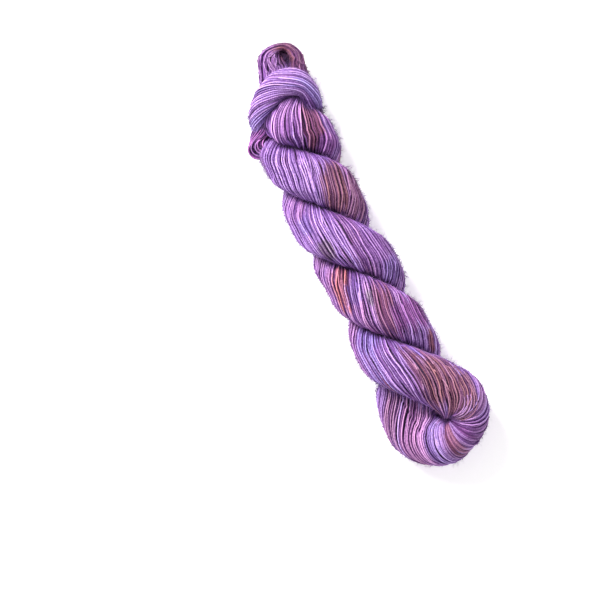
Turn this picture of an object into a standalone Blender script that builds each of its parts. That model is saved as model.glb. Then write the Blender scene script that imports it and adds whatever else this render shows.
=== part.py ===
"""A hank of hand-dyed yarn, twisted on itself, tucked and lying flat on a table.

The skein is one thick rope. It begins as a collar round the neck, winds down the hank as one ply, folds back at
the foot and winds up again as the other ply. That ply's end comes out under the collar as a short looped ear.

Sizes are in millimetres until the mesh is made. A place on the hank is (along, across, up): along runs from the
top of the collar to the foot, across is positive to the right as seen from above, and up is from the table.
In the model +Y points to the ear, +X across and +Z up, in metres, with the origin under the middle of the hank.
"""

import collections
import math

import bpy
import bmesh
import numpy as np

MM = 0.001

# ---- driving sizes
HEAD_TO_MIDDLE = 131.7      # along, from the top of the collar to the middle of the whole length
MIDDLE_ACROSS = -4.4        # across, of the middle of the whole width
AXIS_UP = 23.2              # height of the twist's axis above the table
SAG = 0.93                  # the pile of yarn settles to this share of its round height

PLY_OUTER = 15.0            # half sizes of one ply's section, away from the twist's axis
PLY_INNER = 13.4            # towards the axis, where it presses into the other ply
PLY_SIDE = 20.0             # and to each side
PLY_OFFSET = 11.0           # from the twist's axis to the middle of a ply
PRESSED = 0.6               # how square the pressed side is: 1 is an ellipse, 0 a flat

TWIST_STEP = 0.125          # half turns between the sections of the plain twist
TWIST_DOWN_ENDS = 3.9       # half turns where the ply that winds down spreads into the foot
TWIST_UP_STARTS = 4.25      # half turns where the other ply leaves the foot
TWIST_UP_ENDS = 0.2         # half turns where it becomes the neck
DOWN_PLY_FACE = 270.0       # the way each ply looks at the head, in degrees round the axis: one below,
UP_PLY_FACE = 90.0          # and the other on top

SECTION_POINTS = 40         # round one section of the loft
SECTION_STEP = 3.0          # between sections
SHORTEST_GAP = 0.5          # between two sections, however close they lie
VOXEL = 1.1                 # grid that fuses the overlapping lofts into one body
SOFTENING = 4               # rounds of smoothing on the grid's steps
TRIANGLES = 11200           # left after thinning
TABLE_SPACE = (400.0, 500.0, 100.0)

# Where the twist has made each half turn, where its axis lies there, and how much bigger than plain the ply is
# that winds back up: it swells where it leaves the foot.
HalfTurn = collections.namedtuple("HalfTurn", "turns along across grown")
HALF_TURNS = (
    HalfTurn(0.0, 34.0, -8.0, 1.0),
    HalfTurn(1.0, 71.5, -9.8, 1.0),
    HalfTurn(1.5, 94.0, -11.0, 1.0),
    HalfTurn(2.0, 118.0, -10.7, 1.0),
    HalfTurn(2.5, 142.3, -7.9, 1.0),
    HalfTurn(3.0, 167.0, -8.3, 1.0),
    HalfTurn(4.0, 217.0, -5.0, 1.12),
    HalfTurn(4.5, 249.0, 3.5, 1.18),
)

# A section that is not on the plain twist. face is the way its outer side looks, in degrees round the axis
# (0 to the right, 90 up). round says how far the rope runs round the neck (1) rather than along the hank (0).
Wrap = collections.namedtuple("Wrap", "along across up face round outer inner side")
COLLAR = (
    Wrap(30, 8, 16, -50, 0.9, 6.0, 5.0, 7.0),
    Wrap(29, 1, 8.5, -80, 1.0, 6.5, 6.0, 8.0),
    Wrap(30, -10, 8.5, -105, 1.0, 6.5, 6.0, 8.0),
    Wrap(31, -20, 14, -140, 1.0, 6.5, 6.0, 8.0),
    Wrap(26.5, -24.5, 23, -180, 0.9, 7.0, 6.5, 9.5),
    Wrap(18, -20.0, 33, -215, 0.8, 8.0, 7.0, 11.0),
    Wrap(12.0, -12.5, 38, -242, 0.9, 8.0, 7.5, 10.0),
    Wrap(8.5, -2, 39.5, -268, 1.0, 8.0, 8.0, 9.3),
    Wrap(11.5, 7.5, 37.5, -306, 0.9, 8.5, 8.0, 10.0),
    Wrap(19.5, 10, 30.5, -352, 0.7, 9.5, 8.5, 12.0),
    Wrap(28, 4, 18, -405, 0.4, 12.0, 10.0, 15.0),
)

# The fold round the pinch at the foot: fan is the angle round the pinch, in degrees, from the right of the hank.
Fold = collections.namedtuple("Fold", "fan reach up outer inner side")
PINCH_ALONG = 252.0
PINCH_ACROSS = 1.5
FOOT = (
    Fold(222, 30.5, 12.5, 18.0, 27.0, 15.5),
    Fold(198, 22.5, 13.5, 20.5, 28.0, 16.0),
    Fold(172, 19.2, 15.0, 20.5, 22.5, 17.5),
    Fold(140, 17.3, 16.5, 17.7, 20.0, 18.7),
    Fold(105, 15.0, 18.2, 15.4, 17.2, 20.2),
    Fold(65, 13.2, 20.0, 13.4, 15.4, 20.0),
    Fold(30, 13.6, 23.0, 13.8, 16.4, 19.8),
    Fold(0, 14.4, 26.5, 14.6, 17.4, 20.0),
)

# The neck that runs under the collar, as the last of the second ply.
NECK = (
    Wrap(24, -7, 29.5, 92, 0.0, 13.0, 12.0, 16.0),
    Wrap(13, -2, 26.0, 92, 0.0, 11.0, 11.0, 15.0),
    Wrap(4, 2, 22.5, 92, 0.0, 9.0, 10.0, 14.5),
)

# The ear: a wide leg up on the left, a turn round a small hollow, and a narrow leg down on the right.
EAR_LEFT_LEG = (
    Wrap(13, -3.0, 22.5, 180, 0.0, 11.0, 11.5, 9.0),
    Wrap(3, -2.7, 21.5, 180, 0.0, 11.3, 11.3, 10.0),
    Wrap(-4.5, -2.0, 21.0, 180, 0.0, 10.0, 10.2, 10.0),
)
EAR_HOLLOW_ALONG = -9.0
EAR_HOLLOW_ACROSS = 8.8
EAR_TURN = (
    Fold(-152, 8.4, 20.5, 7.2, 7.4, 9.5),
    Fold(-120, 6.1, 20.5, 4.4, 5.2, 8.5),
    Fold(-85, 4.8, 20.5, 3.3, 4.0, 8.0),
    Fold(-40, 5.0, 20.5, 3.4, 4.2, 8.0),
)
EAR_RIGHT_LEG = (
    Wrap(-6, 15.2, 20.5, 0, 0.0, 5.0, 5.2, 8.5),
    Wrap(2, 14.2, 21.5, 0, 0.0, 5.0, 6.0, 8.5),
    Wrap(12, 12.8, 23.0, 0, 0.0, 5.0, 6.0, 8.5),
)

# Slack turns that hang from the collar's left side, as one small lobe.
SLACK_PLACE = (37.0, -30.5, 16.0)
SLACK_HALF = (10.0, 7.0, 9.0)

YARN_COLOUR = (0.36, 0.20, 0.52, 1.0)
YARN_ROUGHNESS = 0.85

ALONG = np.array((0.0, -1.0, 0.0))
ACROSS = np.array((1.0, 0.0, 0.0))
UP = np.array((0.0, 0.0, 1.0))

# One section: its middle, the way its outer side looks, the way the rope runs, and its half sizes.
Section = collections.namedtuple("Section", "middle face run outer inner side")


def place(along, across, up):
    """A place on the hank as a point of the model, in millimetres."""
    return (across - MIDDLE_ACROSS) * ACROSS + (along - HEAD_TO_MIDDLE) * ALONG + up * UP


def cubic(knots, values, at):
    """A smooth curve through the values at the knots, read at one or more places."""
    knots = np.asarray(knots, float)
    values = np.asarray(values, float)
    at = np.atleast_1d(at)
    slopes = np.gradient(values, knots, axis=0)
    left = np.clip(np.searchsorted(knots, at, side="right") - 1, 0, len(knots) - 2)
    span = knots[left + 1] - knots[left]
    t = (at - knots[left]) / span
    if values.ndim > 1:
        span = span[:, None]
        t = t[:, None]
    return (
        (1 + 2 * t) * (1 - t) ** 2 * values[left]
        + t * (1 - t) ** 2 * span * slopes[left]
        + t * t * (3 - 2 * t) * values[left + 1]
        + t * t * (t - 1) * span * slopes[left + 1]
    )


def twist_section(turns, first_face, sign):
    """A ply's section on the plain twist. sign is +1 down the hank and -1 back up it."""
    knots = [row.turns for row in HALF_TURNS]
    along = cubic(knots, [row.along for row in HALF_TURNS], turns)[0]
    across = cubic(knots, [row.across for row in HALF_TURNS], turns)[0]
    grown = cubic(knots, [row.grown for row in HALF_TURNS], turns)[0] if sign < 0 else 1.0
    face = math.radians(first_face - 180.0 * turns)
    outward = math.cos(face) * ACROSS + math.sin(face) * UP
    middle = place(along, across, AXIS_UP) + PLY_OFFSET * grown * outward
    side = PLY_SIDE * math.sqrt(grown)
    return Section(middle, outward, sign * ALONG, PLY_OUTER * grown, PLY_INNER * grown, side)


def wrap_section(row, sign):
    """A section of the collar or of the neck."""
    face = math.radians(row.face)
    outward = math.cos(face) * ACROSS + math.sin(face) * UP
    around = math.sin(face) * ACROSS - math.cos(face) * UP
    run = sign * ((1 - row.round) * ALONG + row.round * around)
    return Section(place(row.along, row.across, row.up), outward, run, row.outer, row.inner, row.side)


def fan_section(row, along, across, sign):
    """A section of a fold, on a fan of planes round one upright line. sign is +1 where fan falls along the rope."""
    fan = math.radians(row.fan)
    outward = math.cos(fan) * ACROSS + math.sin(fan) * ALONG
    run = sign * (math.sin(fan) * ACROSS - math.cos(fan) * ALONG)
    middle = place(along, across, row.up) + row.reach * outward
    return Section(middle, outward, run, row.outer, row.inner, row.side)


def rope_sections():
    """The whole rope, from the hidden start of the collar to the end of the neck."""
    down_turns = np.arange(0.0, TWIST_DOWN_ENDS, TWIST_STEP)
    up_turns = np.arange(TWIST_UP_STARTS, TWIST_UP_ENDS, -TWIST_STEP)
    down = [twist_section(turns, DOWN_PLY_FACE, 1) for turns in down_turns]
    back = [twist_section(turns, UP_PLY_FACE, -1) for turns in up_turns]
    collar = [wrap_section(row, 1) for row in COLLAR]
    foot = [fan_section(row, PINCH_ALONG, PINCH_ACROSS, 1) for row in FOOT]
    neck = [wrap_section(row, -1) for row in NECK]
    return collar + down + foot + back + neck


def ear_sections():
    """The ear, from its left leg under the collar to its right leg."""
    left = [wrap_section(row, -1) for row in EAR_LEFT_LEG]
    turn = [fan_section(row, EAR_HOLLOW_ALONG, EAR_HOLLOW_ACROSS, -1) for row in EAR_TURN]
    right = [wrap_section(row, 1) for row in EAR_RIGHT_LEG]
    return left + turn + right


def resample(sections, step):
    """The same rope at even steps, with square frames, as arrays."""
    middles = np.array([s.middle for s in sections])
    gaps = np.linalg.norm(np.diff(middles, axis=0), axis=1)
    knots = np.concatenate([[0.0], np.cumsum(np.maximum(gaps, SHORTEST_GAP))])
    at = np.linspace(0.0, knots[-1], int(knots[-1] / step) + 1)
    middle = cubic(knots, middles, at)
    run = cubic(knots, [s.run for s in sections], at)
    run /= np.linalg.norm(run, axis=1)[:, None]
    face = cubic(knots, [s.face for s in sections], at)
    face -= run * np.sum(face * run, axis=1)[:, None]
    face /= np.linalg.norm(face, axis=1)[:, None]
    sizes = cubic(knots, [(s.outer, s.inner, s.side) for s in sections], at)
    return middle, face, np.cross(run, face), sizes


def section_ring(middle, face, side, sizes):
    """The points round one section: an ellipse outside, and a flatter curve where it presses inwards."""
    outer, inner, half = sizes
    ring = []
    for k in range(SECTION_POINTS):
        angle = 2 * math.pi * k / SECTION_POINTS
        cosine, sine = math.cos(angle), math.sin(angle)
        if cosine >= 0:
            depth = outer * cosine
        else:
            depth = -inner * abs(cosine) ** PRESSED
        ring.append(middle + depth * face + half * sine * side)
    return ring


def loft(bm, sections):
    """Rings of points joined by faces, closed at both ends."""
    middle, face, side, sizes = resample(sections, SECTION_STEP)
    rings = []
    for row in zip(middle, face, side, sizes):
        points = section_ring(*row)
        for point in points:
            point[2] = AXIS_UP + (point[2] - AXIS_UP) * SAG
        rings.append([bm.verts.new(point * MM) for point in points])
    for first, second in zip(rings, rings[1:]):
        for k in range(SECTION_POINTS):
            after = (k + 1) % SECTION_POINTS
            bm.faces.new((first[k], first[after], second[after], second[k]))
    bm.faces.new(reversed(rings[0]))
    bm.faces.new(rings[-1])


def slack_lobe(bm):
    lobe = bmesh.ops.create_icosphere(bm, subdivisions=3, radius=1.0)["verts"]
    for vert in lobe:
        along, across, up = (c + h * w for c, h, w in zip(SLACK_PLACE, SLACK_HALF, vert.co))
        vert.co = place(along, across, up) * MM


def mesh_object(name, bm, collection):
    mesh = bpy.data.meshes.new(name)
    bm.to_mesh(mesh)
    bm.free()
    obj = bpy.data.objects.new(name, mesh)
    collection.objects.link(obj)
    return obj


def table_cutter(collection):
    """Everything below the table, which leaves the hank's underside flat where it lies."""
    bm = bmesh.new()
    bmesh.ops.create_cube(bm, size=MM)
    bmesh.ops.scale(bm, vec=TABLE_SPACE, verts=bm.verts)
    bmesh.ops.translate(bm, vec=(0.0, 0.0, -TABLE_SPACE[2] / 2 * MM), verts=bm.verts)
    cutter = mesh_object("below_table", bm, collection)
    cutter.hide_render = True
    cutter.display_type = "WIRE"
    return cutter


def yarn_material():
    material = bpy.data.materials.new("yarn")
    material.use_nodes = True
    shader = material.node_tree.nodes["Principled BSDF"]
    shader.inputs["Base Color"].default_value = YARN_COLOUR
    shader.inputs["Roughness"].default_value = YARN_ROUGHNESS
    shader.inputs["Metallic"].default_value = 0.0
    return material


def clear_scene():
    for obj in list(bpy.data.objects):
        bpy.data.objects.remove(obj, do_unlink=True)


def new_collection(name):
    collection = bpy.data.collections.new(name)
    bpy.context.scene.collection.children.link(collection)
    return collection


def hank(parts, cutters):
    """The lofts are fused on a fine grid, thinned, and cut flat at the table."""
    bm = bmesh.new()
    loft(bm, rope_sections())
    loft(bm, ear_sections())
    slack_lobe(bm)
    bmesh.ops.recalc_face_normals(bm, faces=bm.faces)
    obj = mesh_object("hank", bm, parts)
    obj.data.materials.append(yarn_material())

    fuse = obj.modifiers.new("fuse", "REMESH")
    fuse.mode = "VOXEL"
    fuse.voxel_size = VOXEL * MM
    soften = obj.modifiers.new("soften", "SMOOTH")
    soften.factor = 0.5
    soften.iterations = SOFTENING
    bpy.context.view_layer.update()
    graph = bpy.context.evaluated_depsgraph_get()
    fused = bpy.data.meshes.new_from_object(obj.evaluated_get(graph))
    fused_triangles = sum(len(p.vertices) - 2 for p in fused.polygons)
    obj.modifiers.clear()
    obj.data = fused

    thin = obj.modifiers.new("thin", "DECIMATE")
    thin.ratio = TRIANGLES / fused_triangles
    thin.use_collapse_triangulate = True
    flat = obj.modifiers.new("flat_underside", "BOOLEAN")
    flat.operation = "DIFFERENCE"
    flat.solver = "EXACT"
    flat.object = table_cutter(cutters)
    obj.data.shade_smooth()
    return obj


def main():
    clear_scene()
    parts = new_collection("hank_of_yarn")
    cutters = new_collection("cutters")
    hank(parts, cutters)


main()
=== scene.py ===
# %% [markdown]
# # A hank of hand-dyed yarn
#
# A hank is one long strand of yarn, wound in hundreds of turns, then twisted on itself and tucked so that
# it cannot come undone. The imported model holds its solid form. This script lays the turns of the strand
# over the same rope, one by one, and dyes each one in long streaks.

import collections
import math

import bmesh
import bpy
import numpy as np
from mathutils import Matrix, Vector


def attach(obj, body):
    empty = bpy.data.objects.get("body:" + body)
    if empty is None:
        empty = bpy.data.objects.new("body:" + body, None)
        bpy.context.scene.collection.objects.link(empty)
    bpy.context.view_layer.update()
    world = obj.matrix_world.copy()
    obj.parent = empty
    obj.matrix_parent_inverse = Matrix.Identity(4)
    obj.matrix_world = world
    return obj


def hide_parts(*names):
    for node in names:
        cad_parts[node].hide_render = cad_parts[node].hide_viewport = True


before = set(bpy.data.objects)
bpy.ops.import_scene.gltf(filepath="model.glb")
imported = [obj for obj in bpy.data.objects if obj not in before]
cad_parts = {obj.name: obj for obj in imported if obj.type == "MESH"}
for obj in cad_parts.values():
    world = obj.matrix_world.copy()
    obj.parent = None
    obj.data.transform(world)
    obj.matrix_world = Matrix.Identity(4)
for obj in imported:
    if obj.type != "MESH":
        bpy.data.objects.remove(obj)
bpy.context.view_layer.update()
MM = 0.001


# %% [markdown]
# ## The picture
#
# The hank is seen from straight above, with its foot at the lower right. A camera far away with a long lens
# sees it so, because nearly parallel lines of sight hide no side of a ply. One wide light at the upper left
# and a bright room light it softly. The pale floor glows a little, which keeps the shadow soft.

# %% The camera
PICTURE_MIDDLE = (-0.0475, -0.0089)  # metres across and along the hank
PICTURE_WIDTH = 0.3924  # metres from side to side
SEEN_HEIGHT = 0.032  # where that width is measured
HANK_SLOPE = math.radians(64.0)
LENS = 200.0
SENSOR = 36.0

picture_right = Vector((math.sin(HANK_SLOPE), -math.cos(HANK_SLOPE), 0.0))
picture_up = Vector((math.cos(HANK_SLOPE), math.sin(HANK_SLOPE), 0.0))
straight_up = Vector((0.0, 0.0, 1.0))


def placed(name, data):
    """A new object in the scene."""
    thing = bpy.data.objects.new(name, data)
    bpy.context.scene.collection.objects.link(thing)
    return thing


camera_data = bpy.data.cameras.new("camera")
camera_data.lens = LENS
camera_data.sensor_width = SENSOR
camera = placed("camera", camera_data)
camera_height = SEEN_HEIGHT + PICTURE_WIDTH * LENS / SENSOR
turned = Matrix((picture_right, picture_up, straight_up)).transposed().to_4x4()
turned.translation = Vector((*PICTURE_MIDDLE, camera_height))
camera.matrix_world = turned
bpy.context.scene.camera = camera
print("camera height in m:", round(camera_height, 3))

# %% The light
KEY_PLACE = -0.75 * picture_right + 0.85 * picture_up + 1.05 * straight_up
WHITE = (1.0, 1.0, 1.0, 1.0)


def set_inputs(node, values):
    for name, value in values.items():
        node.inputs[name].default_value = value


key_data = bpy.data.lights.new("key_light", "AREA")
key_data.shape = "SQUARE"
key_data.size = 0.6
key_data.energy = 42.0
key = placed("key_light", key_data)
key.location = KEY_PLACE
key.rotation_euler = KEY_PLACE.to_track_quat("Z", "Y").to_euler()

room = bpy.data.worlds.new("room")
bpy.context.scene.world = room
room.use_nodes = True
set_inputs(room.node_tree.nodes["Background"], {"Color": WHITE, "Strength": 0.68})
bpy.context.scene.view_settings.view_transform = "Standard"
print("lights:", key.name, "and", room.name)

# %% The floor
FLOOR_LOOK = {
    "Base Color": (0.93, 0.92, 0.92, 1.0),
    "Roughness": 0.9,
    "Emission Color": WHITE,
    "Emission Strength": 0.4,
}


def plain_material(name, values):
    """A material whose one shader gets the values."""
    material = bpy.data.materials.new(name)
    material.use_nodes = True
    set_inputs(material.node_tree.nodes["Principled BSDF"], values)
    return material


floor_mesh = bpy.data.meshes.new("floor")
bm = bmesh.new()
bmesh.ops.create_grid(bm, x_segments=1, y_segments=1, size=3.0)
bm.to_mesh(floor_mesh)
bm.free()
floor = placed("floor", floor_mesh)
floor_mesh.materials.append(plain_material("pale_floor", FLOOR_LOOK))
print("the floor is", floor.dimensions.x, "m wide")

# %% [markdown]
# ## The rope
#
# The whole hank is one thick rope of yarn. It starts as a collar, winds down as one ply, folds at the foot,
# winds up as the other ply and ends as a neck under the collar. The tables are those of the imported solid,
# with a wider hollow in the ear and two new measures. lean says how the yarn lies on the rope: at 0 along
# it, at 1 across it at 45 degrees, and at 4 almost straight round it. loose says how unevenly it lies.
#
# A pattern of lines drawn on the solid would be simpler. But real turns cast shadows on each other, sink
# into the gaps, and show one by one at the outline.

# %% Sizes and directions, in millimetres
HEAD_TO_MIDDLE = 131.7  # from the collar's top to the middle of the hank
MIDDLE_ACROSS = -4.4  # of the whole width
AXIS_UP = 23.2  # the twist's axis above the table
SAG = 0.93  # the pile settles to this share of its round height

PLY_OUTER = 15.0  # half sizes of a ply's section, away from the axis,
PLY_INNER = 13.4  # towards it,
PLY_SIDE = 20.0  # and to each side
PLY_OFFSET = 11.0  # from the axis to the middle of a ply
PRESSED = 0.6  # how square the pressed side is
TWIST_STEP = 0.125  # half turns between two sections

ALONG = np.array((0.0, -1.0, 0.0))
ACROSS = np.array((1.0, 0.0, 0.0))
UP = np.array((0.0, 0.0, 1.0))

Section = collections.namedtuple("Section", "middle face run outer inner side lean loose")


def place(along, across, up):
    """A place on the hank as a point of the model, in millimetres."""
    return (across - MIDDLE_ACROSS) * ACROSS + (along - HEAD_TO_MIDDLE) * ALONG + up * UP


def between(first, second, degrees):
    """A direction that is turned from the first towards the second."""
    return math.cos(math.radians(degrees)) * first + math.sin(math.radians(degrees)) * second


def unit(vectors):
    return vectors / np.linalg.norm(vectors, axis=-1)[..., None]


def cubic(knots, values, at):
    """A smooth curve through the values at the knots."""
    knots = np.asarray(knots, float)
    values = np.asarray(values, float)
    at = np.atleast_1d(at)
    slopes = np.gradient(values, knots, axis=0)
    left = np.clip(np.searchsorted(knots, at, side="right") - 1, 0, len(knots) - 2)
    span = knots[left + 1] - knots[left]
    t = (at - knots[left]) / span
    if values.ndim > 1:
        span = span[:, None]
        t = t[:, None]
    return (
        (1 + 2 * t) * (1 - t) ** 2 * values[left]
        + t * (1 - t) ** 2 * span * slopes[left]
        + t * t * (3 - 2 * t) * values[left + 1]
        + t * t * (t - 1) * span * slopes[left + 1]
    )


print("half a ply is", PLY_SIDE, "mm wide")

# %% The two plies of the twist
# Each row: half turns, along, across, grown, lean down and up the hank, loose down and up it
HALF_TURNS = (
    (0, 34, -8, 1, 1.6, 1.65, 1, 1.8),
    (1, 71.5, -9.8, 1, 1.65, 1.5, 0.8, 1.1),
    (1.5, 94, -11, 1, 1.52, 1.33, 0.9, 1.05),
    (2, 118, -10.7, 1, 1.4, 1.32, 1, 1.1),
    (2.5, 142.3, -7.9, 1, 1.5, 1.28, 1, 1.05),
    (3, 167, -8.3, 1, 1.55, 1.25, 0.9, 1),
    (4, 217, -5, 1.12, 0.95, 1.22, 1, 1),
    (4.5, 249, 3.5, 1.18, 0.8, 1.6, 0.9, 1.15),
)
DOWN_PLY_FACE = 270.0  # degrees, where a ply faces at the start of the twist
UP_PLY_FACE = 90.0


def twist_section(turns, first_face, sign):
    """A ply's section on the plain twist. sign is +1 down the hank and -1 back up it."""
    knots, along, across, grown, lean_down, lean_up, loose_down, loose_up = np.array(HALF_TURNS).T
    grown = cubic(knots, grown, turns)[0] if sign < 0 else 1.0
    outward = between(ACROSS, UP, first_face - 180.0 * turns)
    middle = place(cubic(knots, along, turns)[0], cubic(knots, across, turns)[0], AXIS_UP)
    middle += PLY_OFFSET * grown * outward
    sizes = (PLY_OUTER * grown, PLY_INNER * grown, PLY_SIDE * math.sqrt(grown))
    lean = np.interp(turns, knots, lean_down if sign > 0 else lean_up)
    loose = np.interp(turns, knots, loose_down if sign > 0 else loose_up)
    return Section(middle, outward, sign * ALONG, *sizes, lean, loose)


print("half turns of the twist:", HALF_TURNS[-1][0])

# %% The collar, the foot and the neck
Wrap = collections.namedtuple("Wrap", "along across up face round outer inner side lean")
COLLAR_LOOSE = 0.92
NECK_LOOSE = 1.0
COLLAR = (
    (30, 8, 16, -50, 0.9, 6, 5, 7, 1),
    (29, 1, 8.5, -80, 1, 6.5, 6, 8, 1),
    (30, -10, 8.5, -105, 1, 6.5, 6, 8, 0.8),
    (31, -20, 14, -140, 1, 6.5, 6, 8, 0.5),
    (26.5, -24.5, 23, -180, 0.9, 7, 6.5, 9.5, 0.35),
    (18, -20, 33, -215, 0.8, 8, 7, 11, 0.35),
    (12, -12.5, 38, -242, 0.9, 8, 7.5, 10, 0.55),
    (8.5, -2, 39.5, -268, 1, 8, 8, 9.3, 0.75),
    (11.5, 7.5, 37.5, -306, 0.9, 8.5, 8, 10, 0.5),
    (19.5, 10, 30.5, -352, 0.7, 9.5, 8.5, 12, 0.2),
    (28, 4, 18, -405, 0.4, 12, 10, 15, 0.8),
)

Fold = collections.namedtuple("Fold", "fan reach up outer inner side lean")
PINCH = (252.0, 1.5)  # along and across
FOOT_FANS = (0, 50, 105, 150)  # at these angles of the fan
FOOT_LOOSE = (1.0, 1.3, 1.05, 0.72)  # the turns lie so loose
FOOT = (
    (222, 30.5, 12.5, 18, 27, 15.5, 0.6),
    (198, 22.5, 13.5, 20.5, 28, 16, 0.7),
    (172, 19.2, 15, 20.5, 22.5, 17.5, 1),
    (140, 17.3, 16.5, 17.7, 20, 18.7, 1.4),
    (105, 15, 18.2, 15.4, 17.2, 20.2, 3),
    (65, 13.2, 20, 13.4, 15.4, 20, 4.6),
    (30, 13.6, 23, 13.8, 16.4, 19.8, 2.6),
    (0, 14.4, 26.5, 14.6, 17.4, 20, 1.9),
)

NECK = (
    (24, -7, 29.5, 92, 0, 13, 12, 16, 1.2),
    (13, -2, 26, 92, 0, 11, 11, 15, 0.6),
    (4, 2, 22.5, 92, 0, 9, 10, 14.5, 0.3),
)


def wrap_sections(rows, sign, loose):
    """Sections of the collar, the neck, a leg of the ear or the lobe."""
    for row in map(Wrap._make, rows):
        run = sign * ((1 - row.round) * ALONG + row.round * between(-UP, ACROSS, row.face))
        middle = place(row.along, row.across, row.up)
        yield Section(middle, between(ACROSS, UP, row.face), run, *row[5:], loose)  # from outer to lean


def fan_sections(rows, pinch, sign, looses):
    """Sections of a fold, on planes that fan out from a pinch. sign is +1 where fan falls."""
    for row, loose in zip(map(Fold._make, rows), looses):
        outward = between(ACROSS, ALONG, row.fan)
        run = sign * between(-ALONG, ACROSS, row.fan)
        middle = place(*pinch, row.up) + row.reach * outward
        yield Section(middle, outward, run, *row[3:], loose)  # from outer to lean


TWIST_DOWN_ENDS = 3.9
TWIST_UP_STARTS = 4.25
TWIST_UP_ENDS = 0.2

going_down = np.arange(0.0, TWIST_DOWN_ENDS, TWIST_STEP)
going_up = np.arange(TWIST_UP_STARTS, TWIST_UP_ENDS, -TWIST_STEP)
foot_looses = np.interp([row[0] for row in FOOT], FOOT_FANS, FOOT_LOOSE)
rope_sections = [
    *wrap_sections(COLLAR, 1, COLLAR_LOOSE),
    *(twist_section(turns, DOWN_PLY_FACE, 1) for turns in going_down),
    *fan_sections(FOOT, PINCH, 1, foot_looses),
    *(twist_section(turns, UP_PLY_FACE, -1) for turns in going_up),
    *wrap_sections(NECK, -1, NECK_LOOSE),
]
print("sections of the rope:", len(rope_sections))

# %% [markdown]
# ## The ear and the lobe
#
# The end of the skein comes out under the collar as a looped ear, which is a short rope of its own. Another
# is the lobe of slack turns at the collar's left side.

# %% The ear and the slack lobe
EAR_LOOSE = 1.25
LOBE_LOOSE = 1.2
EAR_LEFT_LEG = (
    (13, -3, 22.5, 180, 0, 11, 11.5, 9, 0.1),
    (3, -2.7, 21.5, 180, 0, 11.3, 11.3, 10, 0.1),
    (-4.5, -2, 21, 180, 0, 10, 10, 10, 0.15),
)
EAR_HOLLOW = (-9.0, 8.8)
EAR_TURN = (
    (-152, 8.4, 20.5, 7.2, 7.1, 9.5, 0.2),
    (-120, 6.1, 20.5, 4.4, 4.6, 8.5, 0.3),
    (-85, 4.8, 20.5, 3.3, 2.7, 8, 0.3),
    (-40, 5, 20.5, 3.4, 2.8, 8, 0.2),
)
EAR_RIGHT_LEG = (
    (-6, 15.2, 20.5, 0, 0, 5, 4, 8.5, 0.15),
    (2, 14.2, 21.5, 0, 0, 5, 6, 8.5, 0.1),
    (12, 12.8, 23, 0, 0, 5, 6, 8.5, 0.1),
)
LOBE = (
    (24, -22, 20, 180, 0, 5, 5, 6, 0.3),
    (30, -27, 18, 180, 0, 6, 5, 8, 0.3),
    (37, -29.5, 16, 180, 0, 7, 5, 9, 0.3),
    (43, -27.5, 15, 180, 0, 6, 5, 8, 0.3),
    (49, -22, 15, 180, 0, 5, 5, 6, 0.3),
)

ear_sections = [
    *wrap_sections(EAR_LEFT_LEG, -1, EAR_LOOSE),
    *fan_sections(EAR_TURN, EAR_HOLLOW, -1, [EAR_LOOSE] * len(EAR_TURN)),
    *wrap_sections(EAR_RIGHT_LEG, 1, EAR_LOOSE),
]
lobe_sections = list(wrap_sections(LOBE, 1, LOBE_LOOSE))
print("sections of the ear:", len(ear_sections), "and of the lobe:", len(lobe_sections))

# %% [markdown]
# ## From sections to strands
#
# A strand is known by its share of the girth: where round the section it lies, from 0 to 1. Down the rope
# every strand moves round by the lean. Places are read closer together where the lean is high, so that no
# strand has long straight pieces.

# %% The rope read at many places
Rope = collections.namedtuple("Rope", "at middle face side sizes wound lean loose")
SHORTEST_GAP = 0.5
FINE_STEPS = 4000


def running_sum(values, at):
    """The area under the values, from the first place on."""
    return np.concatenate([[0.0], np.cumsum((values[1:] + values[:-1]) / 2 * np.diff(at))])


def girths(sizes):
    """How far it is round each section, nearly."""
    outer, inner, side = sizes.T
    return 2 * math.pi * np.sqrt((((outer + inner) / 2) ** 2 + side**2) / 2)


def read_rope(sections, strand_step):
    """The rope at even steps of a strand. wound counts how often that has gone round."""
    middles = np.array([s.middle for s in sections])
    gaps = np.linalg.norm(np.diff(middles, axis=0), axis=1)
    knots = np.concatenate([[0.0], np.cumsum(np.maximum(gaps, SHORTEST_GAP))])
    halves = [(s.outer, s.inner, s.side) for s in sections]

    fine = np.linspace(0.0, knots[-1], FINE_STEPS)
    lean = np.interp(fine, knots, [s.lean for s in sections])
    wound = running_sum(lean / girths(cubic(knots, halves, fine)), fine)
    travelled = running_sum(np.sqrt(1 + lean**2), fine)
    at = np.interp(np.arange(0.0, travelled[-1], strand_step), travelled, fine)

    run = unit(cubic(knots, [s.run for s in sections], at))
    face = cubic(knots, [s.face for s in sections], at)
    face = unit(face - run * np.sum(face * run, axis=1)[:, None])
    curves = (cubic(knots, middles, at), face, np.cross(run, face), cubic(knots, halves, at))
    loose = np.interp(at, knots, [s.loose for s in sections])
    return Rope(at, *curves, np.interp(at, fine, wound), np.interp(at, fine, lean), loose)


FINE = 2.5  # millimetres of strand between two points of its path
COARSE = 4.0
EAR_FINE = 2.2
EAR_COARSE = 3.5

rope = read_rope(rope_sections, FINE)
ear = read_rope(ear_sections, EAR_FINE)
print("rope length in mm:", round(rope.at[-1]), "and a strand goes round", round(rope.wound[-1], 1), "times")

# %% Where a share of the girth lies on a section
GIRTH_STEPS = 180


def section_curve(angle, outer, inner, side):
    """A section's outline: an ellipse outside, and a flatter curve where it presses inwards."""
    cosine = np.cos(angle)
    depth = np.where(cosine >= 0, outer * cosine, -inner * np.abs(cosine) ** PRESSED)
    return depth, side * np.sin(angle)


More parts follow.
